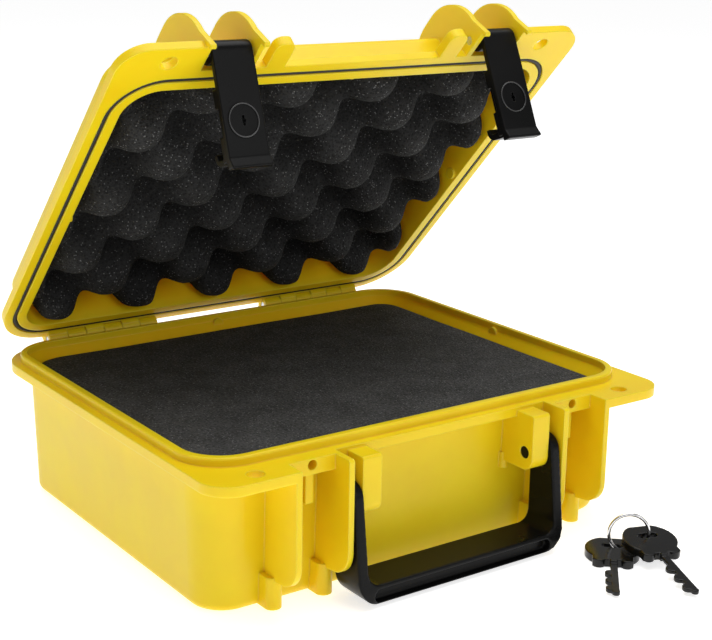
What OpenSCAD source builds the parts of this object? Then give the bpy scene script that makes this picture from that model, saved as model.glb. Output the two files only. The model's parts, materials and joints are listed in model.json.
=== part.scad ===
// Hard protective case with a foam-lined base and lid, two locking latches and a folding handle.
// Millimetres, +Z up. The origin is the centre of the base's underside, -Y is the latch side.
// The lid, its latches and everything on them are drawn in the closed case, then swung open.

/* [Case] */
// Width inside the sealing lip, left to right
inner_w = 240; // [236:1:300]
// Depth inside the sealing lip, front to back
inner_d = 196; // [170:1:240]
// Radius of the lip's inside corners
inner_r = 20; // [14:0.5:28]
// Height from the underside to the top of the lip
base_h = 74; // [66:1:110]
// Wall thickness of both shells
wall_t = 3; // [2.5:0.1:4]
// Draft of the base walls, top to bottom, on each side
base_draft = 1.7; // [0.5:0.1:2.5]
// How far the base walls stand inside the lip's inner edge
wall_inset = 1.5; // [1:0.1:3]
// Radius of the edge round the underside
base_edge_r = 4; // [3:0.5:7]

/* [Rim] */
// Thickness of the sealing lip
lip_t = 3.5; // [2.5:0.1:4]
// Height of the lip above the base flange
lip_h = 4; // [3:0.5:6]
// Thickness of the base flange
flange_t = 4.5; // [3.5:0.5:6]
// Width of the flange outside the lip's inner edge
flange_w = 8; // [6:0.5:10]
// Gap between the lip and the closed lid
lid_gap = 0.3; // [0.2:0.1:0.6]
// Thickness of the lid flange
lid_flange_t = 4; // [3:0.5:6]
// Depth of the two front ears past the lip's inner edge
ear_out = 23; // [20:0.5:28]
// Corner radius of the ears
ear_r = 14; // [10:0.5:18]
// Radius of the padlock holes
padlock_r = 4; // [3:0.25:5]
// Distance from the padlock holes to the ears' front edges
padlock_back = 9; // [8:0.5:12]

/* [Lid] */
// Angle of the lid from closed, as it stands open
lid_open = 46; // [30:1:60]
// Height of the lid above its flange face
lid_h = 23.4; // [20:0.1:40]
// Radius of the lid's top edge
lid_edge_r = 5; // [3:0.5:7]
// How far the lid walls stand inside the lip's inner edge
lid_inset = 1.5; // [0:0.1:3]
// Height of the latch fins above the lid's top
fin_rise = 8.6; // [8:0.1:12]
// Radius of the latch fins' outline
fin_r = 22.4; // [18:0.1:23]
// Thickness of the latch fins and bay walls
fin_t = 2.8; // [2.2:0.1:3.5]
// Width of the guard tabs over the handle brackets
guard_w = 10; // [8:0.5:10]
// Height of the guard tabs above the flange face
guard_h = 4.6; // [4:0.1:6]

/* [Hinge] */
// Radius of the hinge knuckles
knuckle_r = 4.5; // [4:0.1:4.5]
// Radius of the hinge pins
hinge_pin_r = 2; // [1.5:0.1:2.5]
// Distance from the lip's outside to the knuckles
hinge_gap = 0.5; // [0.4:0.1:1.5]
// Distance of each hinge from the start of the case's corner
hinge_end = 1.4; // [1:0.1:10]
// Knuckles in each hinge
knuckles = 6; // [4:2:8]
// Width of one knuckle
knuckle_w = 10.6; // [8:0.1:11]
// Gap between neighbouring knuckles
knuckle_gap = 0.3; // [0.2:0.1:0.6]

/* [Latches] */
// Width of a latch
latch_w = 20.4; // [17:0.1:21]
// Gap between a latch and each wall of its bay
bay_gap = 1.65; // [1.2:0.05:2]
// Length of a latch from its pin to its tail
latch_len = 51; // [48:0.5:54]
// Thickness of the latch face
latch_t = 2.8; // [2.2:0.1:3]
// Radius of the latch knuckle
latch_knuckle_r = 5.4; // [4.6:0.1:5.6]
// Radius of the latch pin
latch_pin_r = 2; // [1.5:0.1:2.4]
// Lean of the left latch from plumb
lean_left = 18; // [10:1:25]
// Lean of the right latch from plumb
lean_right = 24; // [10:1:28]
// Height of the bay walls above the underside
bay_bottom = 15; // [12:1:20]
// Bottom corner radius of the bay walls
bay_corner_r = 12; // [8:1:14]

/* [Locks] */
// Distance from the lock body to the latch's side
lock_side = 2; // [2:0.1:2.4]
// Wall of the lock body round its plug
lock_wall = 1.2; // [1:0.1:1.6]
// Distance of the lock from the latch tail
lock_up = 20.5; // [18:0.5:22]

/* [Handle] */
// Width of the handle over its arms
handle_w = 118.4; // [100:0.2:142]
// Thickness of a handle arm, side to side
arm_t = 5.2; // [4:0.1:6]
// Depth of the grip, front to back
grip_d = 20; // [17:0.5:21]
// Height of the grip
grip_h = 9.8; // [9:0.1:13]
// Height of the handle pivot above the underside
pivot_z = 49.5; // [45:0.5:52]
// Distance of the handle pivot in front of the lip's inner edge
pivot_out = 14.5; // [13:0.5:15]
// Distance of the grip's front in front of the lip's inner edge
grip_out = 27.5; // [24:0.5:28]
// Height of the handle's lowest point above the underside
grip_z = 1; // [0.5:0.5:5]
// Radius of the handle pins
handle_pin_r = 3; // [2.4:0.1:3.4]
// Thickness of the handle brackets
bracket_t = 10; // [8:0.5:12]

/* [Foam] */
// Distance from the lip's top down to the base foam
foam_drop = 6; // [5:0.5:20]
// Thickness of the foam pad under the base foam
pad_t = 9.5; // [6:0.5:16]
// Gap round the foam
foam_gap = 0.4; // [0.3:0.1:1]
// Height of the lid foam's face above the flange face
lid_foam_up = 1.2; // [1:0.1:6]

/* [Keys] */
// Length of a key from head to tip
key_len = 55; // [48:1:58]
// Width of a key head
key_head_w = 26; // [24:0.5:28]
// Thickness of a key head
key_head_t = 4; // [3:0.25:5]

/* [Fits] */
// Radial clearance of pins and plugs that turn
turn_fit = 0.05; // [0.02:0.01:0.1]
// Side clearance of the handle arms
arm_gap = 0.4; // [0.3:0.1:0.8]

/* [Hidden] */
$fn = 72;
yellow = [0.98, 0.82, 0.10];
black = [0.09, 0.09, 0.09];
foam_grey = [0.22, 0.22, 0.22];
steel = [0.72, 0.72, 0.74];
eps = 0.01;

// Plan of the case: every ring shares these four corner centres
corner_x = inner_w / 2 - inner_r;
corner_y = inner_d / 2 - inner_r;
wall_r = inner_r - wall_inset;
cavity_r = wall_r - wall_t;
lid_wall_r = inner_r - lid_inset;
lip_r = inner_r + lip_t;
flange_r = inner_r + flange_w;
front_y = -inner_d / 2;
wall_y = -(corner_y + wall_r);
flange_x = inner_w / 2 + flange_w;
ear_y = front_y - ear_out;

// Levels
flange_z = base_h - lip_h;
flare_z = flange_z - flange_t;
lid_z = base_h + lid_gap;
lid_flange_top = lid_z + lid_flange_t;
lid_top = lid_z + lid_h;
foam_z = base_h - foam_drop;

// Rear hinge axis
hinge_y = corner_y + lip_r + hinge_gap + knuckle_r;
hinge_z = (flange_z + lid_z) / 2;
hinge_len = knuckles * knuckle_w;
hinge_in = corner_x - hinge_end - hinge_len;

// Latch bays: a gap, then a bay wall, outside each handle arm
handle_gap = 0.9;
bay_w = latch_w + 2 * bay_gap;
latch_x = handle_w / 2 + handle_gap + fin_t + bay_w / 2;
bay_out = latch_x + bay_w / 2 + fin_t;
padlock_share = 0.378;
padlock_x = bay_out + padlock_share * (flange_x - bay_out);

// Latch pivot in the closed case, and the lock's place down the latch
latch_y = front_y - 14.6;
latch_z = lid_flange_top;
lock_z = -(latch_len - lock_up);
claw_d = 10;
claw_t = 3;
claw_up = 3;
claw_share = 0.84;
lip_d = 2;
latch_wall = 2;
notch_w = 1.5;
notch_h = 12;
lock_back = 0.8;
lock_r = latch_w / 2 - lock_side;
plug_r = lock_r - lock_wall;
cam_len = latch_w / 2 + 0.8;
cam_t = 1.4;
cam_gap = 0.6;
keyhole_w = 1.2;
keyhole_l = 4.6;
screw_r = 2.4;
screw_t = 0.8;
stem_r = 1.6;

// Catch parts in each bay
catch_y = front_y - 12.5;
catch_h = 7;
catch_hole_r = 2.3;
post_w = 4;
post_y = front_y - 10.3;
post_z = flange_z - 21;
keeper_h = 3.3;
keeper_z = latch_z - latch_len + claw_t + claw_up + 3.9;
keeper_y = front_y - 9;
tab_w = 2.75;
tab_d = 2.2;
tab_h = 7;
tab_y = latch_y + lock_back - cam_gap - tab_d;

// Feet under the bay walls
bay_foot_r = 4;
bay_foot_out = 3.5;
bay_foot_z = 1;

// Keys and their ring
blade_t = 2;
keys_x = 84;
keys_out = 46;
keys_turn = -35;
key_tilt = 6.5;
ring_r = 9.5;
wire_r = 0.8;
key_clear = 0.3;

// Handle
pivot_y = front_y - pivot_out;
arm_in = handle_w / 2 - arm_t;
bracket_out = arm_in - arm_gap;
bracket_in = bracket_out - bracket_t;
grip_y = front_y - grip_out;
pivot_r = 7.4;
bracket_low = pivot_z - 8.5;
bracket_top = flange_z - 1.5;
bracket_front = front_y - 20;
bracket_corner_r = 6;

// Points of a circular arc, from angle a0 to a1 in n steps
function arc(cx, cy, r, a0, a1, n = 8) =
    [for (i = [0:n]) [cx + r * cos(a0 + (a1 - a0) * i / n), cy + r * sin(a0 + (a1 - a0) * i / n)]];

// Solid whose plan is the case's rounded rectangle, between heights z0 and z1 at its middle.
// The 2D child gives the radius at the corners against height
module rounded_case(z0, z1) {
    translate([-corner_x - eps, -corner_y - eps, z0])
        cube([2 * (corner_x + eps), 2 * (corner_y + eps), z1 - z0]);
    for (sx = [-1, 1], sy = [-1, 1])
        translate([sx * corner_x, sy * corner_y, 0])
            rotate_extrude() children();
    for (a = [0, 180])
        rotate([0, 0, a]) {
            translate([corner_x - eps, corner_y, 0])
                rotate([90, 0, 0])
                    linear_extrude(2 * corner_y) children();
            translate([-corner_x, corner_y - eps, 0])
                rotate([90, 0, 90])
                    linear_extrude(2 * corner_x) children();
        }
}

// Rounded rectangle in plan, grown by r from the corner centres
module case_plan(r) {
    square([2 * corner_x, 2 * (corner_y + r)], center = true);
    square([2 * (corner_x + r), 2 * corner_y], center = true);
    for (sx = [-1, 1], sy = [-1, 1])
        translate([sx * corner_x, sy * corner_y]) circle(r);
}

// Flange outline with the two front ears, shared by base and lid
module flange_plan() {
    case_plan(flange_r);
    ear_in = latch_x + bay_w / 2;
    for (s = [0, 1]) mirror([s, 0]) {
        translate([ear_in, ear_y]) square([flange_x - ear_r - ear_in, -corner_y - ear_y]);
        translate([ear_in, ear_y + ear_r]) square([flange_x - ear_in, -corner_y - ear_y - ear_r]);
        translate([flange_x - ear_r, ear_y + ear_r]) circle(ear_r);
    }
}

module mirror_x() {
    children();
    mirror([1, 0, 0]) children();
}

// Swings a part of the closed lid to where the open lid stands
module opened() {
    translate([0, hinge_y, hinge_z])
        rotate([-lid_open, 0, 0])
            translate([0, -hinge_y, -hinge_z]) children();
}

// Plate across X with its outline in Y and Z
module side_plate(x, t) {
    translate([x - t / 2, 0, 0])
        rotate([90, 0, 90])
            linear_extrude(t) children();
}

// Knuckles of one hinge; first is 0 for the base and 1 for the lid
module knuckle_set(first, r, gap) {
    for (s = [-1, 1], i = [first:2:knuckles - 1])
        translate([s * (hinge_in + (i + 0.5) * knuckle_w), hinge_y, hinge_z])
            rotate([0, 90, 0])
                cylinder(r = r, h = knuckle_w - gap, center = true);
}

// Webs that join the knuckles to a flange between heights z0 and z1
module knuckle_webs(first, z0, z1, depth, gap) {
    for (s = [-1, 1], i = [first:2:knuckles - 1])
        translate([s * (hinge_in + (i + 0.5) * knuckle_w) - (knuckle_w - gap) / 2, hinge_y - depth, z0])
            cube([knuckle_w - gap, depth + knuckle_r, z1 - z0]);
}

module hinge_bores() {
    for (s = [-1, 1])
        translate([s * (hinge_in + hinge_len / 2), hinge_y, hinge_z])
            rotate([0, 90, 0])
                cylinder(r = hinge_pin_r + turn_fit, h = hinge_len + 4, center = true);
}

module padlock_bores(z, h) {
    for (s = [-1, 1])
        translate([s * padlock_x, ear_y + padlock_back, z - 1])
            cylinder(r = padlock_r, h = h + 2);
}

// Small rounded nubs that hold the foam at the middle of each side
module foam_nubs(r, z) {
    for (a = [0, 90, 180, 270])
        rotate([0, 0, a])
            translate([a % 180 == 0 ? corner_x + r : corner_y + r, 0, z])
                rotate([0, -90, 0])
                    cylinder(r = 3, h = 2);
}

// Base tub

module base_outside() {
    foot_r = wall_r - base_draft;
    polygon(concat([[0, 0]], arc(foot_r - base_edge_r, base_edge_r, base_edge_r, -90, 0),
        [[wall_r, flare_z - 2]], arc(wall_r + 2, flare_z - 2, 2, 180, 90, 4),
        [[wall_r + 2, flange_z], [0, flange_z]]));
}

module base_cavity() {
    foot_r = cavity_r - base_draft;
    polygon(concat([[0, wall_t]], arc(foot_r - 3, wall_t + 3, 3, -90, 0, 5),
        [[cavity_r, flare_z], [inner_r, flange_z + 0.5], [inner_r, base_h + 5], [0, base_h + 5]]));
}

module base_lip() {
    polygon(concat([[0, flange_z - 1], [lip_r, flange_z - 1]], arc(lip_r - 1.2, base_h - 1.2, 1.2, 0, 90, 5),
        [[0, base_h]]));
}

// One latch bay of the base, drawn on the right-hand side
module base_bay() {
    for (s = [-1, 1])
        side_plate(latch_x + s * (bay_w + fin_t) / 2, fin_t)
            polygon(concat(
                [[wall_y + wall_t, flange_z], [ear_y + 1, flange_z], [ear_y, flange_z - 1]],
                arc(ear_y + bay_corner_r, bay_bottom + bay_corner_r, bay_corner_r, 180, 270),
                [[wall_y + wall_t, bay_bottom - 2]]));
    translate([latch_x - bay_w / 2 - eps, catch_y, flange_z - catch_h])
        cube([bay_w + 2 * eps, wall_y - catch_y + wall_t, catch_h]);
    translate([latch_x - post_w / 2, post_y, post_z])
        cube([post_w, wall_y - post_y + wall_t, flange_z - post_z - 1]);
}

// Rounded feet under the bay walls
module base_bay_feet() {
    for (s = [-1, 1])
        translate([latch_x + s * (bay_w + fin_t) / 2, wall_y - bay_foot_out, bay_foot_z]) {
            cylinder(r = bay_foot_r, h = bay_bottom);
            translate([-bay_foot_r, 0, 0]) cube([2 * bay_foot_r, bay_foot_out + wall_t, bay_bottom]);
        }
}

// Keeper for the claw and tab for the lock's cam, both on the left wall of a bay
module bay_catches(x) {
    left = x - bay_w / 2 - eps;
    translate([left, keeper_y, keeper_z])
        cube([bay_w * 0.38, wall_y - keeper_y + wall_t, keeper_h]);
    translate([left, tab_y, latch_z + lock_z - tab_h / 2])
        cube([tab_w, tab_d, tab_h]);
}

module bracket() {
    side_plate((bracket_in + bracket_out) / 2, bracket_t)
        polygon(concat(
            [[wall_y + wall_t, flange_z], [wall_y, flange_z], [wall_y, bracket_top],
                [bracket_front + 1, bracket_top], [bracket_front, bracket_top - 1]],
            arc(bracket_front + bracket_corner_r, bracket_low + bracket_corner_r, bracket_corner_r, 180, 270),
            [[wall_y + wall_t, bracket_low]]));
    translate([bracket_in + 1.5, wall_y + 0.5, bracket_low - 4])
        cylinder(r = 2.5, h = 8);
}

module base_shell() {
    color(yellow) difference() {
        union() {
            rounded_case(0, flange_z) base_outside();
            rounded_case(flange_z - 1, base_h) base_lip();
            translate([0, 0, flare_z]) linear_extrude(flange_t) flange_plan();
            mirror_x() base_bay();
            mirror_x() base_bay_feet();
            mirror_x() bracket();
            for (s = [-1, 1]) bay_catches(s * latch_x);
            knuckle_webs(0, flare_z, hinge_z, 6, knuckle_gap);
            knuckle_set(0, knuckle_r, knuckle_gap);
        }
        rounded_case(wall_t, base_h + 5) base_cavity();
        padlock_bores(flare_z, flange_t);
        knuckle_set(1, knuckle_r + knuckle_gap, -knuckle_gap);
        hinge_bores();
        for (s = [-1, 1]) {
            translate([s * latch_x, catch_y - 1, flange_z - catch_h / 2 + 0.8])
                rotate([-90, 0, 0]) cylinder(r = catch_hole_r, h = 7);
            translate([s * (bracket_in + bracket_out) / 2, pivot_y, pivot_z])
                rotate([0, 90, 0])
                    cylinder(r = handle_pin_r + turn_fit, h = bracket_t + 2, center = true);
        }
    }
    color(yellow) foam_nubs(inner_r + 0.3, flange_z - 0.8);
}

// Foam in the base, on a separate pad

module foam_layer(z, h) {
    color(foam_grey) translate([0, 0, z])
        linear_extrude(h) case_plan(cavity_r - base_draft - foam_gap);
}

module base_foam_pad() {
    foam_layer(wall_t + 3.3, pad_t - 3.3);
}

module base_foam_block() {
    foam_layer(wall_t + pad_t + foam_gap, foam_z - wall_t - pad_t - foam_gap);
}

// Hinge pins

module hinge_pin(s) {
    color(steel) translate([s * (hinge_in + hinge_len / 2), hinge_y, hinge_z])
        rotate([0, 90, 0])
            cylinder(r = hinge_pin_r, h = hinge_len - 1, center = true);
}

module hinge_pin_left() {
    hinge_pin(-1);
}

module hinge_pin_right() {
    hinge_pin(1);
}

// Handle

module handle_front() {
    outer_r = 13;
    inner_rad = 6;
    top = pivot_z + pivot_r + 1;
    difference() {
        union() {
            translate([-handle_w / 2, grip_z + outer_r]) square([handle_w, top - grip_z - outer_r]);
            translate([-handle_w / 2 + outer_r, grip_z]) square([handle_w - 2 * outer_r, outer_r + 1]);
            for (s = [-1, 1]) translate([s * (handle_w / 2 - outer_r), grip_z + outer_r]) circle(outer_r);
        }
        translate([-arm_in, grip_z + grip_h + inner_rad]) square([2 * arm_in, top]);
        translate([-arm_in + inner_rad, grip_z + grip_h]) square([2 * (arm_in - inner_rad), inner_rad + 1]);
        for (s = [-1, 1])
            translate([s * (arm_in - inner_rad), grip_z + grip_h + inner_rad]) circle(inner_rad);
    }
}

module handle_side() {
    corner = 3;
    hull() {
        translate([pivot_y, pivot_z]) circle(pivot_r);
        for (y = [grip_y + corner, grip_y + grip_d - corner], z = [grip_z + corner, grip_z + grip_h - corner])
            translate([y, z]) circle(corner);
    }
}

module handle() {
    recess_h = 6.2;
    recess_d = 4;
    recess_x = arm_in - 6;
    recess_z = grip_z + grip_h / 2 - 0.3;
    color(black) difference() {
        intersection() {
            translate([0, grip_y + grip_d + 10, 0]) rotate([90, 0, 0])
                linear_extrude(grip_d + 20) handle_front();
            side_plate(0, handle_w) handle_side();
        }
        translate([0, pivot_y, pivot_z]) rotate([0, 90, 0])
            cylinder(r = handle_pin_r + turn_fit, h = handle_w + 2, center = true);
        for (s = [-1, 1])
            translate([s * recess_x, grip_y + recess_d, recess_z])
                rotate([90, 0, 0]) cylinder(r = recess_h / 2, h = recess_d + 5);
        translate([-recess_x, grip_y - 5, recess_z - recess_h / 2])
            cube([2 * recess_x, recess_d + 5, recess_h]);
    }
}

module handle_pin(s) {
    pin_h = bracket_t + arm_gap + arm_t - 1;
    color(black) translate([s * (bracket_in + 0.5 + pin_h / 2), pivot_y, pivot_z])
        rotate([0, 90, 0]) cylinder(r = handle_pin_r, h = pin_h, center = true);
}

module handle_pin_left() {
    handle_pin(-1);
}

module handle_pin_right() {
    handle_pin(1);
}

// Lid

module lid_outside() {
    polygon(concat([[0, lid_z], [lid_wall_r + 2, lid_z], [lid_wall_r + 2, lid_flange_top]],
        arc(lid_wall_r + 2, lid_flange_top + 2, 2, 270, 180, 4),
        arc(lid_wall_r - 0.8 - lid_edge_r, lid_top - lid_edge_r, lid_edge_r, 0, 90), [[0, lid_top]]));
}

module lid_cavity() {
    top = lid_top - wall_t;
    polygon(concat([[0, lid_z - 1], [lid_wall_r - wall_t + 0.8, lid_z - 1], [lid_wall_r - wall_t, lid_z + 5]],
        arc(lid_wall_r - wall_t - 0.8 - 3, top - 3, 3, 0, 90, 5), [[0, top]]));
}

// Front fins of one latch, drawn on the right-hand side
module lid_fins() {
    top = lid_top + fin_rise;
    tip = ear_y - 3.5;
    nose_z = lid_z - 2.3;
    for (s = [-1, 1])
        side_plate(latch_x + s * (bay_w + fin_t) / 2, fin_t)
            polygon(concat(
                [[wall_y + 24, lid_top - 1], [wall_y, lid_z], [ear_y - 1, lid_z], [ear_y - 1.6, nose_z],
                    [tip + 0.8, nose_z], [tip, nose_z + 1]],
                arc(ear_y + fin_r, top - fin_r, fin_r, 180, 90, 16),
                arc(ear_y + fin_r + 7, top - fin_r, fin_r, 90, 35)));
}

// Round-cornered tab that covers a handle bracket when the lid is closed
module lid_guard_tab() {
    corner = 4;
    translate([(bracket_in + bracket_out - guard_w) / 2, ear_y, lid_z])
        linear_extrude(guard_h) {
            translate([0, corner]) square([guard_w, wall_y - ear_y - corner + 1]);
            translate([corner, 0]) square([guard_w - 2 * corner, corner + 1]);
            for (x = [corner, guard_w - corner]) translate([x, corner]) circle(corner);
        }
}

module latch_pin_bores() {
    for (s = [-1, 1])
        translate([s * latch_x, latch_y, latch_z])
            rotate([0, 90, 0])
                cylinder(r = latch_pin_r + turn_fit, h = bay_w + 2 * fin_t + 2, center = true);
}

module gasket_plan(clear) {
    difference() {
        case_plan(inner_r + lip_t + clear);
        case_plan(inner_r + 1 - clear);
    }
}

module lid_shell() {
    groove_d = 3;
    color(yellow) opened() difference() {
        union() {
            rounded_case(lid_z, lid_top) lid_outside();
            translate([0, 0, lid_z]) linear_extrude(lid_flange_t) flange_plan();
            mirror_x() lid_fins();
            mirror_x() lid_guard_tab();
            knuckle_webs(1, hinge_z, lid_flange_top, 5, knuckle_gap);
            knuckle_set(1, knuckle_r, knuckle_gap);
        }
        rounded_case(lid_z - 1, lid_top - wall_t) lid_cavity();
        translate([0, 0, lid_z - 1]) linear_extrude(groove_d + 1) gasket_plan(0);
        padlock_bores(lid_z, lid_flange_t);
        knuckle_set(0, knuckle_r + knuckle_gap, -knuckle_gap);
        hinge_bores();
        latch_pin_bores();
    }
    color(yellow) opened() intersection() {
        foam_nubs(lid_wall_r - wall_t + 1, lid_z + 4);
        translate([0, 0, lid_z]) linear_extrude(8) case_plan(lid_wall_r - wall_t + 1);
    }
}

module lid_gasket() {
    color(black) opened() translate([0, 0, lid_z])
        linear_extrude(2.9) gasket_plan(-0.05);
}

module lid_foam() {
    face = lid_z + lid_foam_up;
    color(foam_grey) opened() translate([0, 0, face])
        linear_extrude(lid_top - wall_t - foam_gap - face)
            case_plan(lid_wall_r - wall_t - 3.4);
}

// Latches: drawn about their pin, with the face towards -Y and the tail down

module on_latch(s, lean) {
    dy = latch_y - hinge_y;
    dz = latch_z - hinge_z;
    translate([s * latch_x, hinge_y + dy * cos(lid_open) + dz * sin(lid_open),
        hinge_z - dy * sin(lid_open) + dz * cos(lid_open)])
        rotate([-lean, 0, 0]) children();
}

module latch_face() {
    face = -latch_knuckle_r;
    polygon([[face, 0], [face, 5 - latch_len], [face - 2, 0.6 - latch_len], [face - 1.6, -latch_len],
        [face + latch_t, -latch_len], [face + latch_t, 0]]);
}

module latch_claw() {
    face = -latch_knuckle_r;
    low = -latch_len;
    polygon(concat([[face + 1, low + 5.5], [face + 1, low + 0.5], [face + latch_t + 2, low + 2]],
        arc(claw_d - 5, low + 7.4, 5, -75, 0, 6),
        [[claw_d, low + claw_t + claw_up + 2.5], [claw_d - lip_d, low + claw_t + claw_up + 2.5],
        [claw_d - lip_d - 1, low + 5.6]]));
}

module latch(s, lean) {
    face = -latch_knuckle_r;
    color(black) on_latch(s, lean) difference() {
        union() {
            rotate([0, 90, 0]) cylinder(r = latch_knuckle_r, h = latch_w, center = true);
            side_plate(0, latch_w) latch_face();
            side_plate(0, latch_w * claw_share) latch_claw();
            for (e = [-1, 1])
                translate([e * (latch_w - latch_wall) / 2 - latch_wall / 2, face + 1, 3 - latch_len])
                    cube([latch_wall, latch_knuckle_r - 0.6, latch_len - 19]);
            translate([0, face + 1, lock_z]) rotate([-90, 0, 0])
                cylinder(r = lock_r + 1.6, h = latch_knuckle_r - 1.2);
        }
        rotate([0, 90, 0]) cylinder(r = latch_pin_r + turn_fit, h = latch_w + 2, center = true);
        translate([0, face + 1.2, lock_z]) rotate([-90, 0, 0])
            cylinder(r = lock_r, h = 2 * latch_knuckle_r);
        translate([0, face - 1, lock_z]) rotate([-90, 0, 0])
            cylinder(r = plug_r + 0.5, h = 2 * latch_knuckle_r);
        for (e = [-1, 1])
            translate([e * latch_w / 2 - notch_w, face + latch_t + 0.2, lock_z - notch_h / 2])
                cube([2 * notch_w, latch_knuckle_r, notch_h]);
    }
}

module latch_left() {
    latch(-1, lean_left);
}

module latch_right() {
    latch(1, lean_right);
}

module latch_pin(s) {
    color(steel) on_latch(s, 0)
        rotate([0, 90, 0])
            cylinder(r = latch_pin_r, h = bay_w + 2 * fin_t - 0.4, center = true);
}

module latch_pin_left() {
    latch_pin(-1);
}

module latch_pin_right() {
    latch_pin(1);
}

// Key locks in the latches

module lock_body(s, lean) {
    face = -latch_knuckle_r;
    color(black) on_latch(s, lean) translate([0, face + 1.2, lock_z]) rotate([-90, 0, 0])
        difference() {
            cylinder(r = lock_r - 0.02, h = lock_back - face - 1.2 - 0.4);
            translate([0, 0, -1]) cylinder(r = plug_r + turn_fit, h = 2 * latch_knuckle_r);
        }
}

module lock_body_left() {
    lock_body(-1, lean_left);
}

module lock_body_right() {
    lock_body(1, lean_right);
}

module lock_plug(s, lean) {
    face = -latch_knuckle_r;
    color(black) on_latch(s, lean) translate([0, face + 0.3, lock_z]) rotate([-90, 0, 0])
        difference() {
            cylinder(r = plug_r, h = lock_back - face - 0.3);
            translate([0, 0, -1]) cylinder(r = keyhole_w, h = 4);
            translate([-keyhole_w / 2, -keyhole_l / 2, -1]) cube([keyhole_w, keyhole_l, 4]);
            translate([0, 0, lock_back - face - 3.4]) cylinder(r = stem_r, h = 4);
        }
}

module lock_plug_left() {
    lock_plug(-1, lean_left);
}

module lock_plug_right() {
    lock_plug(1, lean_right);
}

// Cam on the back of the plug; it points down when the lock is open
module lock_cam(s, lean) {
    tip_w = 6;
    color(steel) on_latch(s, lean) translate([0, lock_back, lock_z]) rotate([-90, 0, 0])
        difference() {
            union() {
                cylinder(r = 4.6, h = cam_t);
                translate([-tip_w / 2, 0, 0]) cube([tip_w, cam_len, cam_t]);
            }
            translate([0, 0, -1]) cylinder(r = stem_r, h = 4);
        }
}

module lock_cam_left() {
    lock_cam(-1, lean_left);
}

module lock_cam_right() {
    lock_cam(1, lean_right);
}

module cam_screw(s, lean) {
    color(steel) on_latch(s, lean) translate([0, lock_back, lock_z]) rotate([-90, 0, 0])
        difference() {
            union() {
                translate([0, 0, -2.8]) cylinder(r = stem_r - 0.02, h = cam_t + 3);
                translate([0, 0, cam_t]) cylinder(r = screw_r, h = screw_t);
            }
            translate([-screw_r, -0.3, cam_t + screw_t - 0.4]) cube([2 * screw_r, 0.6, 1]);
        }
}

module cam_screw_left() {
    cam_screw(-1, lean_left);
}

module cam_screw_right() {
    cam_screw(1, lean_right);
}

// Keys: drawn flat, with the ring slot at the origin and the blade along -Y

module key_outline() {
    head_r = key_head_w / 2;
    blade_w = 5.4;
    tip_y = 6 - key_len;
    translate([0, -3]) intersection() {
        circle(head_r);
        square([key_head_w, 1.8 * head_r], center = true);
    }
    translate([0, -11.5]) square([19, 9], center = true);
    for (s = [-1, 1]) translate([s * 6.5, -14.5]) circle(3);
    translate([-1.4, tip_y + 2]) square([blade_w - 2, -tip_y - 4]);
    translate([0.4, tip_y + 2]) circle(1.8);
    for (i = [0:2]) translate([-1.6, tip_y + 5 + i * 8]) circle(2.6);
}

module key() {
    slot_r = 2;
    slot_x = 3;
    difference() {
        union() {
            linear_extrude(key_head_t) intersection() {
                key_outline();
                translate([-key_head_w, -17.6]) square([2 * key_head_w, 40]);
            }
            translate([0, 0, (key_head_t - blade_t) / 2]) linear_extrude(blade_t) key_outline();
        }
        for (s = [-1, 1]) translate([s * slot_x, 0, -1]) cylinder(r = slot_r, h = key_head_t + 2);
        translate([-slot_x, -slot_r, -1]) cube([2 * slot_x, 2 * slot_r, key_head_t + 2]);
    }
}

// The keys lie in front of the case, with the ring standing across them at the origin
module keys_place() {
    translate([keys_x, front_y - keys_out, 0])
        rotate([0, 0, keys_turn]) children();
}

// The ring's wire, thicker by clear
module ring_wire(clear) {
    translate([0, 0, ring_r + wire_r + 0.1])
        rotate([90, 0, 0])
            rotate_extrude() translate([ring_r, 0]) circle(wire_r + clear, $fn = 24);
}

module key_left() {
    color(black) keys_place() difference() {
        translate([-7.5, 0, 0]) rotate([0, 0, -8]) key();
        ring_wire(key_clear);
    }
}

module key_right() {
    color(black) keys_place() difference() {
        translate([8.6, 0, 1.45 * key_head_t]) rotate([0, 0, 16]) rotate([key_tilt, 0, 0]) key();
        ring_wire(key_clear);
    }
}

module key_ring() {
    color(steel) keys_place() ring_wire(0);
}

base_shell();
base_foam_pad();
base_foam_block();
hinge_pin_left();
hinge_pin_right();
handle();
handle_pin_left();
handle_pin_right();
lid_shell();
lid_gasket();
lid_foam();
latch_pin_left();
latch_pin_right();
latch_left();
latch_right();
lock_body_left();
lock_body_right();
lock_plug_left();
lock_plug_right();
lock_cam_left();
lock_cam_right();
cam_screw_left();
cam_screw_right();
key_left();
key_right();
key_ring();
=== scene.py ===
# %% [markdown]
# # A hard protective case, open on a table
#
# The case has a yellow moulded base and lid, black latches and a folding handle, an egg-crate
# foam lining, a rubber gasket and a pair of keys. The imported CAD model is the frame: it says
# where everything is and what moves with what. This script gives it its finishes, and makes new
# pieces where the real thing is soft or rounded.

import json
import math

import bmesh
import bpy
from mathutils import Matrix, Vector, noise


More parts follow.
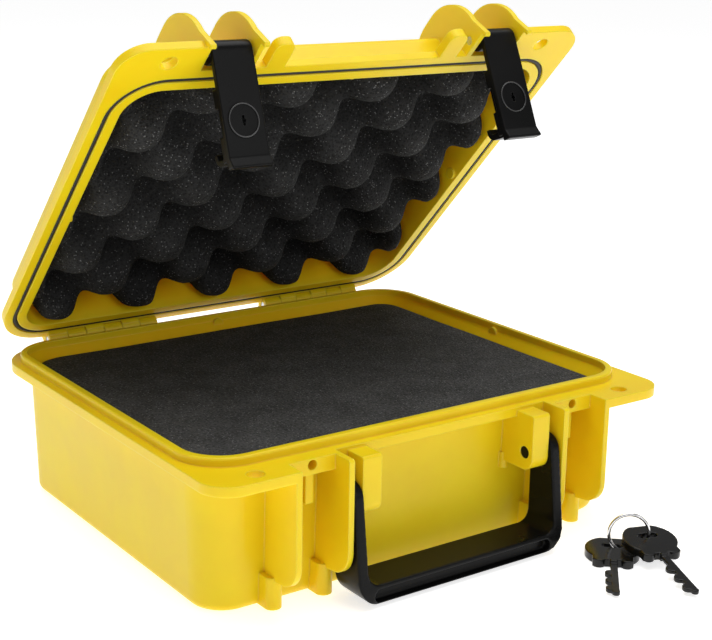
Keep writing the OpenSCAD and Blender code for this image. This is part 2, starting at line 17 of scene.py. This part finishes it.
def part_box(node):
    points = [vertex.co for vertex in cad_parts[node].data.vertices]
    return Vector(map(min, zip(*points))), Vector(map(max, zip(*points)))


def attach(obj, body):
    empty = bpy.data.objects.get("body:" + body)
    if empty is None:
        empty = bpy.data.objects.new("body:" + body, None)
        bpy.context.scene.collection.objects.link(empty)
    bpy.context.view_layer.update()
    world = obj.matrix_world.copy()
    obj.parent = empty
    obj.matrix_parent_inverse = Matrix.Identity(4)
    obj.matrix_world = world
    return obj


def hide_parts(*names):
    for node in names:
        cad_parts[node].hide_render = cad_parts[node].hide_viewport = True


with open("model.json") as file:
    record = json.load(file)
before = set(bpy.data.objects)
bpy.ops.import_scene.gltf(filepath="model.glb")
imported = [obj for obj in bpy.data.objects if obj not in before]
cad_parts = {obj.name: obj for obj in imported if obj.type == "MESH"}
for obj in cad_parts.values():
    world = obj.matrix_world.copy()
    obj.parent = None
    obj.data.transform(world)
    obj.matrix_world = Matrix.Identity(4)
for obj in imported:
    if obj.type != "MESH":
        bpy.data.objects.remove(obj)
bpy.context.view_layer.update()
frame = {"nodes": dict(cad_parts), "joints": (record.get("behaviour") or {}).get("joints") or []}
nodes = frame["nodes"]
scene = bpy.context.scene
MM = 0.001


# %% [markdown]
# ## Where the open lid stands
#
# Every piece of the lid is simplest to make in the closed case, where the lid lies level, and is
# then swung open about the hinge. The hinge joint's lower limit is the closed lid, so the angle
# from closed to open is that limit with its sign changed.

# %% Hinge placement
def joint_named(name):
    return next(joint for joint in frame["joints"] if joint["name"] == name)


hinge = joint_named("lid_hinge")
hinge_at = Vector(hinge["pos_m"])
lid_angle = -math.radians(hinge["range_deg"][0])
open_lid = (Matrix.Translation(hinge_at) @ Matrix.Rotation(-lid_angle, 4, "X")
            @ Matrix.Translation(-hinge_at))
close_lid = open_lid.inverted()


def closed_box(node):
    """Lowest and highest corners of a lid node, measured with the lid closed."""
    points = [close_lid @ vertex.co for vertex in nodes[node].data.vertices]
    low = Vector(min(p[i] for p in points) for i in range(3))
    high = Vector(max(p[i] for p in points) for i in range(3))
    return low, high


print("lid stands open by", round(math.degrees(lid_angle), 1), "degrees")


# %% [markdown]
# ## Small helpers for pieces
#
# A finished piece is an object at the origin whose place is in its mesh. `piece_from` turns a
# bmesh into such an object, and `install` says which body it rides on and which CAD nodes it
# stands for, and hides those nodes.

# %% Piece helpers
def piece_from(name, bm, material):
    """New smooth-shaded object from a bmesh, with outward normals."""
    bmesh.ops.recalc_face_normals(bm, faces=bm.faces)
    mesh = bpy.data.meshes.new(name)
    bm.to_mesh(mesh)
    bm.free()
    for polygon in mesh.polygons:
        polygon.use_smooth = True
    mesh.materials.append(material)
    piece = bpy.data.objects.new(name, mesh)
    scene.collection.objects.link(piece)
    return piece


def install(piece, body, replaced=()):
    """Puts a finished piece on its body and the CAD nodes it stands for."""
    if replaced:
        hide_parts(*replaced)
    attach(piece, body)
    print(piece.name, "rides on", body, "with", len(piece.data.polygons), "faces")
    return piece


def apply_modifiers(piece):
    """Makes the piece's live modifiers part of its mesh."""
    evaluated = piece.evaluated_get(bpy.context.evaluated_depsgraph_get())
    mesh = bpy.data.meshes.new_from_object(evaluated)
    piece.modifiers.clear()
    piece.data = mesh


# %% [markdown]
# ## Building materials from nodes
#
# A material is a small graph of nodes. These helpers add a node, set its inputs and link them, so
# that each finish below reads as a short recipe. Patterns use Object coordinates: every object
# sits at the origin, so a pattern keeps its scale in metres and stays with its piece.

# %% Node helpers
def add(tree, kind, inputs=None, **settings):
    """Adds a node; inputs are values, or sockets to link from."""
    node = tree.nodes.new(kind)
    for key, value in settings.items():
        setattr(node, key, value)
    for key, value in (inputs or {}).items():
        if isinstance(value, bpy.types.NodeSocket):
            tree.links.new(value, node.inputs[key])
        else:
            node.inputs[key].default_value = value
    return node


def ramp(tree, source, stops):
    """Colour ramp from (position, grey or colour) stops."""
    node = add(tree, "ShaderNodeValToRGB", {"Fac": source})
    elements = node.color_ramp.elements
    while len(elements) < len(stops):
        elements.new(0.5)
    for element, (position, colour) in zip(elements, stops):
        element.position = position
        element.color = colour if len(colour) == 4 else (*colour, 1)
    return node.outputs["Color"]


def grey(level):
    return (level, level, level)


def remap(tree, value, low, high, to_low=0.0, to_high=1.0):
    """Maps the range low..high of a socket's value onto to_low..to_high."""
    node = add(tree, "ShaderNodeMapRange", {"Value": value, "From Min": low, "From Max": high,
                                            "To Min": to_low, "To Max": to_high})
    return node.outputs[0]


def mix_colour(tree, factor, first, second, blend="MIX"):
    """Mixes two colours; the factor and the colours are values or sockets."""
    node = add(tree, "ShaderNodeMix", data_type="RGBA", blend_type=blend)
    for socket, value in ((0, factor), (6, first), (7, second)):
        if isinstance(value, bpy.types.NodeSocket):
            tree.links.new(value, node.inputs[socket])
        elif socket == 0:
            node.inputs[0].default_value = value
        else:
            node.inputs[socket].default_value = (*value, 1)
    return node.outputs[2]


def new_group(name, inputs, outputs):
    """Shader node group with named float inputs and typed outputs."""
    group = bpy.data.node_groups.new(name, "ShaderNodeTree")
    for label, default in inputs:
        socket = group.interface.new_socket(label, in_out="INPUT", socket_type="NodeSocketFloat")
        socket.default_value = default
    for label, kind in outputs:
        group.interface.new_socket(label, in_out="OUTPUT", socket_type=kind)
    return group, group.nodes.new("NodeGroupInput").outputs, group.nodes.new("NodeGroupOutput")


# %% [markdown]
# ## Shared effect: softened edges and a painted edge highlight
#
# Moulded plastic has no knife edges: each one is a small radius that catches the light. The CAD
# mesh may not be changed, so a Bevel node rounds the shading normal instead. Where the rounded
# and the true normal differ there is an edge, and that difference is the mask for a paler colour
# painted along the edges: a painted highlight.

# %% Edge group
FLOAT, VECTOR = "NodeSocketFloat", "NodeSocketVector"

edges, e_in, e_out = new_group("softened_edges", [("Radius", 0.8 * MM)],
                               [("Normal", VECTOR), ("Edge", FLOAT)])
rounded = add(edges, "ShaderNodeBevel", {"Radius": e_in["Radius"]}, samples=6)
true_normal = add(edges, "ShaderNodeNewGeometry")
facing = add(edges, "ShaderNodeVectorMath",
             {0: rounded.outputs[0], 1: true_normal.outputs["Normal"]}, operation="DOT_PRODUCT")
# The edge mask marks where the painted edge highlight goes.
edge_mask = remap(edges, facing.outputs["Value"], 0.99, 0.75)
edges.links.new(rounded.outputs[0], e_out.inputs["Normal"])
edges.links.new(edge_mask, e_out.inputs["Edge"])

# %% [markdown]
# ## Shared effect: moulded grain
#
# A spark-eroded mould leaves a fine, even grain, and handling leaves broader patches that are a
# little shinier or duller. Fine noise drives the height, broad noise the patches.

# %% Grain group
grain, g_in, g_out = new_group("moulded_grain", [("Fine", 2200.0), ("Broad", 28.0)],
                               [("Height", FLOAT), ("Patch", FLOAT)])
g_at = add(grain, "ShaderNodeTexCoord").outputs["Object"]
fine = add(grain, "ShaderNodeTexNoise",
           {"Vector": g_at, "Scale": g_in["Fine"], "Detail": 2.0, "Roughness": 0.6})
broad = add(grain, "ShaderNodeTexNoise",
            {"Vector": g_at, "Scale": g_in["Broad"], "Detail": 3.0, "Roughness": 0.55})
grain.links.new(fine.outputs["Fac"], g_out.inputs["Height"])
grain.links.new(broad.outputs["Fac"], g_out.inputs["Patch"])


# %% [markdown]
# ## Moulded plastic
#
# Yellow shells and black fittings are both moulded plastic, so one recipe makes both: grain for
# the height, patches for colour and gloss, and a painted highlight, a paler colour, on the
# softened edges. The even values, such as the specular level, sit on the shader's own sockets.
# The yellow is
# a milky polypropylene: thin fins and rims let some light through, so it also gets a little
# subsurface scattering.

# %% Moulded plastic recipe
def moulded(name, body, deep, edge_highlight, rough, edge_radius, edge_highlight_share, grain_height,
            specular=0.45, fine_scale=2200.0):
    """Moulded plastic; rough is the middle of its roughness, edge_highlight_share the strength of
    the painted highlight on edges.
    """
    material = bpy.data.materials.new(name)
    material.use_nodes = True
    tree = material.node_tree
    shader = tree.nodes["Principled BSDF"]
    soft = add(tree, "ShaderNodeGroup", node_tree=edges)
    soft.inputs["Radius"].default_value = edge_radius
    skin = add(tree, "ShaderNodeGroup", node_tree=grain)
    skin.inputs["Fine"].default_value = fine_scale
    patch = remap(tree, skin.outputs["Patch"], 0.35, 0.65)
    colour = mix_colour(tree, patch, deep, body)
    # Painted highlight: the colour along the edges is mixed towards a paler one.
    share = add(tree, "ShaderNodeMath", {0: soft.outputs["Edge"], 1: edge_highlight_share},
                operation="MULTIPLY")
    colour = mix_colour(tree, share.outputs[0], colour, edge_highlight)
    gloss = remap(tree, skin.outputs["Patch"], 0.3, 0.7, rough - 0.05, rough + 0.05)
    bump = add(tree, "ShaderNodeBump",
               {"Strength": 0.35, "Distance": grain_height, "Height": skin.outputs["Height"],
                "Normal": soft.outputs["Normal"]})
    tree.links.new(colour, shader.inputs["Base Color"])
    tree.links.new(gloss, shader.inputs["Roughness"])
    tree.links.new(bump.outputs[0], shader.inputs["Normal"])
    shader.inputs["Specular IOR Level"].default_value = specular
    return material


yellow = moulded("yellow_shell", body=(0.90, 0.67, 0.008), deep=(0.86, 0.62, 0.006),
                 edge_highlight=(0.98, 0.84, 0.14), rough=0.36, edge_radius=0.9 * MM, edge_highlight_share=0.45,
                 grain_height=0.05 * MM, specular=0.30)
glow = yellow.node_tree.nodes["Principled BSDF"].inputs
glow["Subsurface Weight"].default_value = 0.35
glow["Subsurface Radius"].default_value = (1.0, 0.6, 0.05)
glow["Subsurface Scale"].default_value = 5 * MM
black = moulded("black_fitting", body=(0.006, 0.006, 0.006), deep=(0.004, 0.004, 0.004),
                edge_highlight=(0.09, 0.09, 0.09), rough=0.30, edge_radius=0.4 * MM, edge_highlight_share=0.5,
                grain_height=0.02 * MM, specular=0.11)
lock_black = moulded("lock_black", body=(0.006, 0.006, 0.006), deep=(0.004, 0.004, 0.004),
                     edge_highlight=(0.10, 0.10, 0.10), rough=0.28, edge_radius=0.25 * MM,
                     edge_highlight_share=0.5, grain_height=0.01 * MM, specular=0.10)
# Painted highlight: the lock rims are a paler grey than the black fittings, so they read as a
# bright ring.
rim_highlight = moulded("lock_rim_painted_highlight", body=(0.06, 0.06, 0.06), deep=(0.035, 0.035, 0.035),
                   edge_highlight=(0.16, 0.16, 0.16), rough=0.22, edge_radius=0.1 * MM,
                   edge_highlight_share=0.4, grain_height=0.01 * MM, specular=0.4)
key_black = moulded("key_black", body=(0.006, 0.006, 0.006), deep=(0.004, 0.004, 0.004),
                    edge_highlight=(0.10, 0.10, 0.10), rough=0.20, edge_radius=0.4 * MM, edge_highlight_share=0.6,
                    grain_height=0.01 * MM, specular=0.3, fine_scale=1500.0)
print("moulded plastics:", yellow.name, black.name, lock_black.name, rim_highlight.name,
      key_black.name)


# %% [markdown]
# ## Open-cell foam
#
# Cut foam is a mesh of tiny struts. Most of it is near black, and here and there a cut cell
# mirrors the light as a bright speck, put into the colour as a painted glint. Two Voronoi
# patterns make the open cells, white noise picks a few of the finer cells for the painted glints,
# and broad noise keeps the charcoal from looking flat.
# Each foam mesh carries an attribute, dip, with the depth of its face, and deeper faces are
# painted darker: painted shade in the valleys.

# %% Foam material
VALLEY_DEPTH = 16 * MM  # VALLEY_DEPTH = 16 * MM # the dip at which the painted valley shade is darkest


def open_cell_foam(name, cells, speck_share, speck, tone_low, tone_high):
    """Foam with cells per metre, the share of them that get a painted glint, and its range of
    greys.
    """
    material = bpy.data.materials.new(name)
    material.use_nodes = True
    tree = material.node_tree
    shader = tree.nodes["Principled BSDF"]
    at = add(tree, "ShaderNodeTexCoord").outputs["Object"]
    coarse = add(tree, "ShaderNodeTexVoronoi", {"Vector": at, "Scale": cells * 0.55})
    cell = add(tree, "ShaderNodeTexVoronoi", {"Vector": at, "Scale": cells})
    # Painted glint: a few cells chosen by white noise have their centres painted bright, as if
    # they mirrored the light.
    random = add(tree, "ShaderNodeTexWhiteNoise", {"Vector": cell.outputs["Position"]})
    chosen = add(tree, "ShaderNodeMath", {0: random.outputs["Value"], 1: 1 - speck_share},
                 operation="GREATER_THAN")
    core = remap(tree, cell.outputs["Distance"], 0.50, 0.25)
    painted_glint = add(tree, "ShaderNodeMath", {0: chosen.outputs[0], 1: core},
                operation="MULTIPLY")
    cloud = add(tree, "ShaderNodeTexNoise", {"Vector": at, "Scale": 60.0, "Detail": 3.0})
    tone = ramp(tree, cloud.outputs["Fac"], [(0.3, grey(tone_low)), (0.7, grey(tone_high))])
    pits = ramp(tree, coarse.outputs["Distance"], [(0.05, grey(0.35)), (0.6, grey(1.0))])
    dark = mix_colour(tree, 1.0, tone, pits, "MULTIPLY")
    glinted = mix_colour(tree, painted_glint.outputs[0], dark, grey(speck))
    # Painted shade: the deeper the face dips, the darker its colour, down to 0.4 of it in the
    # valleys.
    dip = add(tree, "ShaderNodeAttribute", attribute_name="dip").outputs["Fac"]
    valley_shade = remap(tree, dip, 0.0, VALLEY_DEPTH, 1.0, 0.4)
    colour = mix_colour(tree, 1.0, glinted, valley_shade, "MULTIPLY")
    depth = add(tree, "ShaderNodeMath", {0: coarse.outputs["Distance"],
                                         1: cell.outputs["Distance"]}, operation="ADD")
    bump = add(tree, "ShaderNodeBump", {"Strength": 0.9, "Distance": 0.5 * MM,
                                        "Height": depth.outputs[0]})
    tree.links.new(colour, shader.inputs["Base Color"])
    tree.links.new(bump.outputs[0], shader.inputs["Normal"])
    shader.inputs["Roughness"].default_value = 0.85
    shader.inputs["Specular IOR Level"].default_value = 0.12
    return material


foam = open_cell_foam("foam", cells=1250.0, speck_share=0.10, speck=0.20,
                      tone_low=0.026, tone_high=0.046)
fine_foam = open_cell_foam("fine_foam", cells=1250.0, speck_share=0.12, speck=0.20,
                           tone_low=0.056, tone_high=0.084)

# %% [markdown]
# ## Rubber and metals
#
# The gasket is dull black rubber with a faint bloom. The pins, cams and screws are zinc-plated
# steel, slightly streaked, and the key ring is bright nickel.

# %% Rubber and metal materials
def plain_noise_material(name, low, high, rough, metallic, scale, stretch=(1, 1, 1), height=0.0):
    """Material whose colour, gloss and height all follow one noise pattern."""
    material = bpy.data.materials.new(name)
    material.use_nodes = True
    tree = material.node_tree
    shader = tree.nodes["Principled BSDF"]
    at = add(tree, "ShaderNodeTexCoord").outputs["Object"]
    placed = add(tree, "ShaderNodeMapping", {"Vector": at, "Scale": stretch})
    cloud = add(tree, "ShaderNodeTexNoise",
                {"Vector": placed.outputs[0], "Scale": scale, "Detail": 4.0})
    colour = ramp(tree, cloud.outputs["Fac"], [(0.3, low), (0.7, high)])
    tree.links.new(colour, shader.inputs["Base Color"])
    gloss = remap(tree, cloud.outputs["Fac"], 0.3, 0.7, rough - 0.06, rough + 0.06)
    tree.links.new(gloss, shader.inputs["Roughness"])
    bump = add(tree, "ShaderNodeBump", {"Strength": 0.4, "Distance": height,
                                        "Height": cloud.outputs["Fac"]})
    tree.links.new(bump.outputs[0], shader.inputs["Normal"])
    shader.inputs["Metallic"].default_value = metallic
    return material


rubber = plain_noise_material("gasket_rubber", (0.010, 0.010, 0.010), (0.018, 0.018, 0.018),
                              0.62, 0.0, 900.0, height=0.04 * MM)
zinc = plain_noise_material("zinc_plate", (0.50, 0.51, 0.53), (0.66, 0.67, 0.69), 0.30, 1.0,
                            500.0, stretch=(0.12, 1, 1), height=0.02 * MM)
nickel = plain_noise_material("nickel_wire", (0.70, 0.70, 0.71), (0.82, 0.82, 0.83), 0.16, 1.0,
                              300.0, height=0.005 * MM)

# %% [markdown]
# ## Finishes on the carried-over nodes
#
# The shells, pins and lock parts keep their CAD shapes and only get better materials.

# %% Assign materials
FINISHES = {
    yellow: ["base_shell", "lid_shell"],
    black: ["handle_pin_left", "handle_pin_right"],
    lock_black: ["lock_body_left", "lock_body_right", "lock_plug_left", "lock_plug_right"],
    zinc: ["hinge_pin_left", "hinge_pin_right", "latch_pin_left", "latch_pin_right",
           "lock_cam_left", "lock_cam_right", "cam_screw_left", "cam_screw_right"],
    nickel: ["key_ring"],
}
for material, names in FINISHES.items():
    for name in names:
        slots = nodes[name].material_slots
        if slots:
            for slot in slots:
                slot.material = material
        else:
            nodes[name].data.materials.append(material)
    print(material.name, "on", len(names), "nodes")


# %% [markdown]
# ## Foam slabs
#
# Each foam is a slab cut to the rounded rectangle of its shell. A grid gives its face, the grid's
# corners are drawn in to round ones, the face is given its relief, and the rim is extruded down
# to the back. `relief` returns how far the face dips at a point, so one function makes the flat
# foams and the egg-crate one.

# %% Foam slab function
RIM_BAND = 2.0 * MM  # how far in from the rim the face is rounded off
RIM_DROP = 1.2 * MM  # how far the face has dropped at the rim


def rounded_corner(x, y, half_x, half_y, radius):
    """Moves a point of a rectangle so that the rectangle's corners become round."""
    over_x = abs(x) - (half_x - radius)
    over_y = abs(y) - (half_y - radius)
    if over_x <= 0 or over_y <= 0:
        return x, y
    shrink = max(over_x, over_y) / math.hypot(over_x, over_y)
    return (math.copysign(half_x - radius + over_x * shrink, x),
            math.copysign(half_y - radius + over_y * shrink, y))


def rim_distance(x, y, half_x, half_y, radius):
    """Distance from a point inside the rounded rectangle to its rim."""
    over_x = abs(x) - (half_x - radius)
    over_y = abs(y) - (half_y - radius)
    outside = math.hypot(max(over_x, 0), max(over_y, 0))
    return radius - outside - min(max(over_x, over_y), 0)


def foam_slab(name, material, centre, half_x, half_y, radius, face_z, back_z, step, relief):
    """Foam slab with its face at face_z and its flat back at back_z."""
    toward_back = 1 if back_z > face_z else -1
    bm = bmesh.new()
    bmesh.ops.create_grid(bm, x_segments=round(2 * half_x / step),
                          y_segments=round(2 * half_y / step), size=1.0)
    depth_layer = bm.verts.layers.float.new("dip")
    for vertex in bm.verts:
        x, y = rounded_corner(vertex.co.x * half_x, vertex.co.y * half_y, half_x, half_y, radius)
        soft_rim = max(0.0, 1 - rim_distance(x, y, half_x, half_y, radius) / RIM_BAND)
        dip = relief(x, y) + RIM_DROP * soft_rim ** 2
        vertex.co = (centre.x + x, centre.y + y, face_z + toward_back * dip)
        vertex[depth_layer] = dip
    rim = [edge for edge in bm.edges if edge.is_boundary]
    for share in (0.35, 0.5, 1.0):
        made = bmesh.ops.extrude_edge_only(bm, edges=rim)["geom"]
        rim = [part for part in made if isinstance(part, bmesh.types.BMEdge)]
        for vertex in (part for part in made if isinstance(part, bmesh.types.BMVert)):
            vertex.co.z += (back_z - vertex.co.z) * share
    bmesh.ops.holes_fill(bm, edges=rim, sides=0)
    return piece_from(name, bm, material)


# %% [markdown]
# ## The egg-crate foam in the lid
#
# Convoluted foam has fat rounded fingers in staggered rows. Two cosines multiplied give exactly
# that checkerboard, and part of it goes through tanh, which steepens the fingers' sides. The
# slab is cut through its outer row, so half fingers stand at the hinge side.

# %% Egg-crate foam
low, high = closed_box("lid_foam")
lid_foam_corner = 12 * MM
finger_pitch_x = 47.2 * MM
finger_pitch_y = 49.2 * MM
finger_shift_x = -1.5 * MM
finger_row_y = 90.4 * MM
finger_height = 18.5 * MM
finger_proud = 2.5 * MM
steepness = 2.4
foam_roughness = 0.9 * MM
egg_crate_step = 1.5 * MM


def egg_crate(x, y):
    """Dip of the face below the finger tips."""
    wave = (math.cos(2 * math.pi * (x - finger_shift_x) / finger_pitch_x)
            * math.cos(2 * math.pi * (y - finger_row_y) / finger_pitch_y))
    finger = 0.6 * math.tanh(steepness * wave) / math.tanh(steepness) + 0.4 * wave
    wobble = foam_roughness * noise.noise(Vector((x, y, 0)) * 70)
    return finger_height * (0.5 - 0.5 * finger) + abs(wobble)


lid_foam = foam_slab("lid_foam_fingers", foam, (low + high) / 2, (high.x - low.x) / 2,
                     (high.y - low.y) / 2, lid_foam_corner, low.z - finger_proud, high.z,
                     egg_crate_step, egg_crate)
lid_foam.data.transform(open_lid)
install(lid_foam, "lid", ["lid_foam"])


# %% [markdown]
# ## The foam in the base
#
# The base holds a plain block on a thin pad. A cut face is never quite flat, so it gets a slow
# undulation of a fraction of a millimetre.

# %% Base foam
cut_undulation = 0.35 * MM


def cut_face(x, y):
    """Dip of a cut face, a slow undulation."""
    return cut_undulation * (1 + noise.noise(Vector((x, y, 3 * MM)) * 24))


base_foam_corner = 13 * MM
for node, name, step in (("base_foam_block", "base_foam_top", 3 * MM),
                         ("base_foam_pad", "base_foam_underlay", 5 * MM)):
    low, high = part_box(node)
    slab = foam_slab(name, fine_foam, (low + high) / 2, (high.x - low.x) / 2,
                     (high.y - low.y) / 2, base_foam_corner, high.z, low.z, step, cut_face)
    install(slab, "base", [node])


# %% [markdown]
# ## The gasket
#
# The gasket is a round rubber cord pressed into the lid's groove. One ring of profile points is
# carried round: a quarter turn at each corner and a straight pull along each side.

# %% Gasket
low, high = closed_box("lid_gasket")
cord_half_w = 1.2 * MM
cord_half_h = 1.45 * MM
gasket_corner = 100 * MM, 78 * MM
cord_out = high.x - gasket_corner[0] - cord_half_w
profile_points = 14
side_steps = 6
corner_steps = 12

bm = bmesh.new()
profile = bmesh.ops.create_circle(bm, segments=profile_points, radius=1.0)["verts"]
for vertex in profile:
    across, upright = vertex.co.x * cord_half_w, vertex.co.y * cord_half_h
    vertex.co = (gasket_corner[0] + cord_out + across, -gasket_corner[1],
                 (low.z + high.z) / 2 + upright)
ring = list({edge for vertex in profile for edge in vertex.link_edges})
turns = [(gasket_corner[0], gasket_corner[1], (0, 2 * gasket_corner[1], 0)),
         (-gasket_corner[0], gasket_corner[1], (-2 * gasket_corner[0], 0, 0)),
         (-gasket_corner[0], -gasket_corner[1], (0, -2 * gasket_corner[1], 0)),
         (gasket_corner[0], -gasket_corner[1], (2 * gasket_corner[0], 0, 0))]
for x, y, pull in turns:
    for _ in range(side_steps):
        made = bmesh.ops.extrude_edge_only(bm, edges=ring)["geom"]
        ring = [part for part in made if isinstance(part, bmesh.types.BMEdge)]
        verts = [part for part in made if isinstance(part, bmesh.types.BMVert)]
        bmesh.ops.translate(bm, verts=verts, vec=Vector(pull) / side_steps)
    made = bmesh.ops.spin(bm, geom=ring, cent=(x, y, 0), axis=(0, 0, 1),
                          angle=math.radians(90), steps=corner_steps)["geom_last"]
    ring = [part for part in made if isinstance(part, bmesh.types.BMEdge)]
bmesh.ops.remove_doubles(bm, verts=bm.verts, dist=0.02 * MM)
gasket = piece_from("gasket_cord", bm, rubber)
gasket.data.transform(open_lid)
install(gasket, "lid", ["lid_gasket"])


# %% [markdown]
# ## Rounded copies of the black fittings
#
# The handle, latches and keys are moulded with every edge rounded. Their CAD solids have the
# right shape but sharp edges, so each is copied, its doubled vertices are merged, a voxel remesh
# gives it an even skin, and smoothing rounds the edges by about a voxel.

# %% Rounded copies
def rounded_copy(node, name, material, voxel, passes):
    """Copy of a CAD node with edges rounded by about one voxel."""
    bm = bmesh.new()
    bm.from_mesh(nodes[node].data)
    bmesh.ops.remove_doubles(bm, verts=bm.verts, dist=0.001 * MM)
    piece = piece_from(name, bm, material)
    skin = piece.modifiers.new("skin", "REMESH")
    skin.mode = "VOXEL"
    skin.voxel_size = voxel
    skin.adaptivity = 0.0
    skin.use_smooth_shade = True
    soften = piece.modifiers.new("soften", "SMOOTH")
    soften.factor = 0.5
    soften.iterations = passes
    apply_modifiers(piece)
    piece.data.materials.clear()
    piece.data.materials.append(material)
    return piece


install(rounded_copy("handle", "handle_moulding", black, 0.55 * MM, 4), "handle",
        ["handle"])
for side in ("left", "right"):
    install(rounded_copy(f"latch_{side}", f"latch_moulding_{side}", black, 0.35 * MM, 2),
            f"latch_{side}", [f"latch_{side}"])
    install(rounded_copy(f"key_{side}", f"key_moulding_{side}", key_black, 0.3 * MM, 3),
            "keys", [f"key_{side}"])

# %% [markdown]
# ## Rims round the locks
#
# A thin raised rim frames each lock disc and catches the light as a fine bright ring; its grey,
# paler than the black latch, is a painted highlight that brightens the ring. It is a small
# profile spun about the lock's axis, which the lock's joint gives.

# %% Lock rims
rim_radius = 7.3 * MM
rim_half = 0.32 * MM
lock_face_out = 5.4 * MM  # from the lock joint's place to the latch's front face
for side in ("left", "right"):
    turn = joint_named(f"lock_{side}_turn")
    inward = Vector(turn["axis"]).normalized()
    face = Vector(turn["pos_m"]) - inward * lock_face_out
    bm = bmesh.new()
    profile = bmesh.ops.create_circle(bm, segments=8, radius=rim_half)["verts"]
    bmesh.ops.rotate(bm, verts=profile, matrix=Matrix.Rotation(math.radians(90), 3, "X"))
    bmesh.ops.translate(bm, verts=profile, vec=(rim_radius, 0, 0))
    bmesh.ops.spin(bm, geom=bm.edges[:], cent=(0, 0, 0), axis=(0, 0, 1),
                   angle=math.radians(360), steps=48, use_merge=True)
    to_face = Matrix.Translation(face) @ inward.to_track_quat("Z", "Y").to_matrix().to_4x4()
    bmesh.ops.transform(bm, matrix=to_face, verts=bm.verts)
    install(piece_from(f"lock_rim_{side}", bm, rim_highlight), f"latch_{side}")

# %% [markdown]
# ## Floor, light and camera
#
# The case stands on a plain white table in a bright studio. One big soft light hangs above it and
# a smaller one stands in front, so that the yellow walls shade gently into amber.

# %% Floor
FLOOR_DROP = 0.0002  # the floor lies this far below the case's underside
bm = bmesh.new()
bmesh.ops.create_grid(bm, x_segments=1, y_segments=1, size=6.0)
bmesh.ops.translate(bm, verts=bm.verts, vec=(0, 0, -FLOOR_DROP))
table = bpy.data.materials.new("white_table")
table.use_nodes = True
table_top = table.node_tree.nodes["Principled BSDF"].inputs
table_top["Base Color"].default_value = (0.78, 0.78, 0.78, 1)
table_top["Roughness"].default_value = 0.8
table_top["Specular IOR Level"].default_value = 0.1
table_top["Emission Color"].default_value = (1, 1, 1, 1)
table_top["Emission Strength"].default_value = 0.72
floor = piece_from("floor", bm, table)

# %% Lights
world = bpy.data.worlds.new("studio")
scene.world = world
world.use_nodes = True
backdrop = world.node_tree.nodes["Background"]
backdrop.inputs["Color"].default_value = (1, 1, 1, 1)
seen = add(world.node_tree, "ShaderNodeLightPath")
strength = remap(world.node_tree, seen.outputs["Is Camera Ray"], 0.0, 1.0, 0.32, 1.05)
world.node_tree.links.new(strength, backdrop.inputs["Strength"])


def soft_light(name, at, aim, size, power):
    """Area light at a place, turned towards aim."""
    lamp = bpy.data.lights.new(name, "AREA")
    lamp.shape = "RECTANGLE"
    lamp.size, lamp.size_y = size
    lamp.energy = power
    holder = bpy.data.objects.new(name, lamp)
    holder.location = at
    holder.rotation_euler = (Vector(aim) - Vector(at)).to_track_quat("-Z", "Y").to_euler()
    scene.collection.objects.link(holder)
    return holder


soft_light("top_softbox", (0.1, 0.1, 1.5), (0, 0, 0.1), (1.6, 1.6), 21)
soft_light("front_softbox", (0.5, -1.6, 0.8), (0, -0.05, 0.1), (0.9, 0.9), 4)

# %% Camera
camera_at = Vector((-0.40387, -0.60015, 0.29498))
camera_aim = Vector((-0.02518, -0.06619, 0.11577))
camera_roll = math.radians(0.91)
lens = bpy.data.cameras.new("camera")
lens.lens = 75.19
lens.sensor_width = 36.0
lens.shift_x = 0.0085
lens.shift_y = -0.0076
lens.clip_start = 0.01
camera = bpy.data.objects.new("camera", lens)
look = (camera_aim - camera_at).to_track_quat("-Z", "Y").to_matrix().to_4x4()
camera.matrix_world = (Matrix.Translation(camera_at) @ look
                       @ Matrix.Rotation(camera_roll, 4, "Z"))
scene.collection.objects.link(camera)
scene.camera = camera
scene.view_settings.view_transform = "Standard"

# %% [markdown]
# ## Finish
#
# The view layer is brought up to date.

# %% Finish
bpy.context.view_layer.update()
